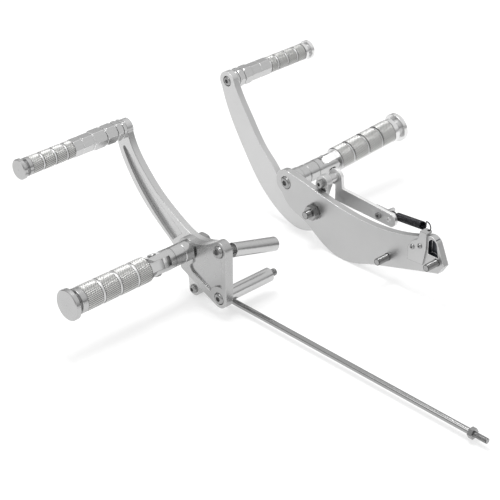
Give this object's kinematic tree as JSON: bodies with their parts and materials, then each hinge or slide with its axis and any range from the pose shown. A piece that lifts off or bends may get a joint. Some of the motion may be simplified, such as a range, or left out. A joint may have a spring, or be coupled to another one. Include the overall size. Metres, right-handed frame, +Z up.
{
  "type": "motorcycle forward controls",
  "caption": "Foot-forward motorcycle controls: shift side with bracket, lever and rod, brake side with long plate, pedal, link and spring, both with folding pegs and toe pegs.",
  "frame": {"origin": "on the axis of the left lower frame bolt, at the frame end of its spacer", "axes": "+X to the bike's right, +Y forward, +Z up"},
  "size_m": [0.6347, 0.6598, 0.2056],
  "materials": {
    "machined_plate": "satin, milled",
    "turned_aluminium": "satin, turned",
    "knurled_aluminium": "knurled",
    "fastener_steel": "zinc plated",
    "spring_steel": "black oxide",
    "bronze": "sintered"
  },
  "bodies": {
    "frame_side": {"left_bracket": "machined_plate", "left_upper_spacer": "turned_aluminium", "left_lower_spacer": "turned_aluminium", "left_lower_frame_bolt": "fastener_steel", "left_upper_frame_bolt": "fastener_steel", "left_peg_mount": "turned_aluminium", "left_peg_collar": "turned_aluminium", "left_peg_bolt": "fastener_steel", "left_hinge_pin": "fastener_steel", "left_hinge_clip": "fastener_steel", "lever_washer": "fastener_steel", "right_main_plate": "machined_plate", "right_front_frame_bolt": "fastener_steel", "right_rear_frame_bolt": "fastener_steel", "right_peg_mount": "turned_aluminium", "right_peg_collar": "turned_aluminium", "right_peg_spacer": "turned_aluminium", "right_peg_bolt": "fastener_steel", "right_hinge_pin": "fastener_steel", "right_hinge_clip": "fastener_steel", "pedal_pivot_bolt": "fastener_steel", "pedal_pivot_nut": "fastener_steel", "pedal_washer": "fastener_steel", "spring_tab": "fastener_steel", "spring_tab_screws": "fastener_steel", "return_spring": "spring_steel"},
    "shift_lever": {"shift_lever": "machined_plate", "lever_bush": "bronze", "left_toe_extension": "turned_aluminium", "left_toe_peg": "knurled_aluminium", "left_toe_peg_cap": "turned_aluminium", "left_toe_bolt": "fastener_steel", "rod_bolt": "fastener_steel", "rod_bolt_nut": "fastener_steel"},
    "shift_rod": {"rod_end": "fastener_steel", "rod_ball": "fastener_steel", "shift_rod": "turned_aluminium", "front_jam_nut": "fastener_steel", "rear_jam_nut": "fastener_steel"},
    "left_foot_peg": {"left_foot_peg": "knurled_aluminium", "left_foot_peg_cap": "turned_aluminium"},
    "right_foot_peg": {"right_foot_peg": "knurled_aluminium", "right_foot_peg_cap": "turned_aluminium"},
    "brake_pedal": {"brake_pedal": "machined_plate", "pedal_bush": "bronze", "right_toe_extension": "turned_aluminium", "right_toe_peg": "knurled_aluminium", "right_toe_peg_cap": "turned_aluminium", "right_toe_bolt": "fastener_steel", "link_bolt": "fastener_steel", "link_bush": "turned_aluminium"},
    "brake_link": {"brake_link": "machined_plate", "spring_lug": "turned_aluminium", "spring_lug_screw": "fastener_steel"}
  },
  "joints": [
    {"name": "left_peg_fold", "type": "hinge", "parent": "frame_side", "child": "left_foot_peg", "pos_m": [-0.1428, 0.059, 0.0465], "axis": [0, 0.4195, 0.9078], "range_deg": [0, 88]},
    {"name": "right_peg_fold", "type": "hinge", "parent": "frame_side", "child": "right_foot_peg", "pos_m": [0.2102, 0.1025, 0.0465], "axis": [0, -0.9397, -0.342], "range_deg": [-5.5, 80]},
    {"name": "shift_lever_pivot", "type": "hinge", "parent": "frame_side", "child": "shift_lever", "pos_m": [-0.06995, 0.059, 0.0465], "axis": [1, 0, 0], "range_deg": [-6, 6]},
    {"name": "shift_rod_pivot", "type": "hinge", "parent": "shift_lever", "child": "shift_rod", "pos_m": [-0.0592, 0.062, -0.0175], "axis": [1, 0, 0], "range_deg": [-6, 6]},
    {"name": "brake_pedal_pivot", "type": "hinge", "parent": "frame_side", "child": "brake_pedal", "pos_m": [0.14685, 0.0465, 0.0251], "axis": [-1, 0, 0], "range_deg": [0, 10]},
    {"name": "brake_link_slide", "type": "slide", "parent": "frame_side", "child": "brake_link", "axis": [0, 1, 0], "range_m": [0, 0.0068], "stiffness_N_per_m": 1200, "springref_m": -0.03, "deforming": ["return_spring"]}
  ],
  "couplings": [
    {"joint": "shift_rod_pivot", "follows": "shift_lever_pivot", "ratio": -1},
    {"joint": "brake_link_slide", "follows": "brake_pedal_pivot", "m_per_rad": 0.0384}
  ]
}
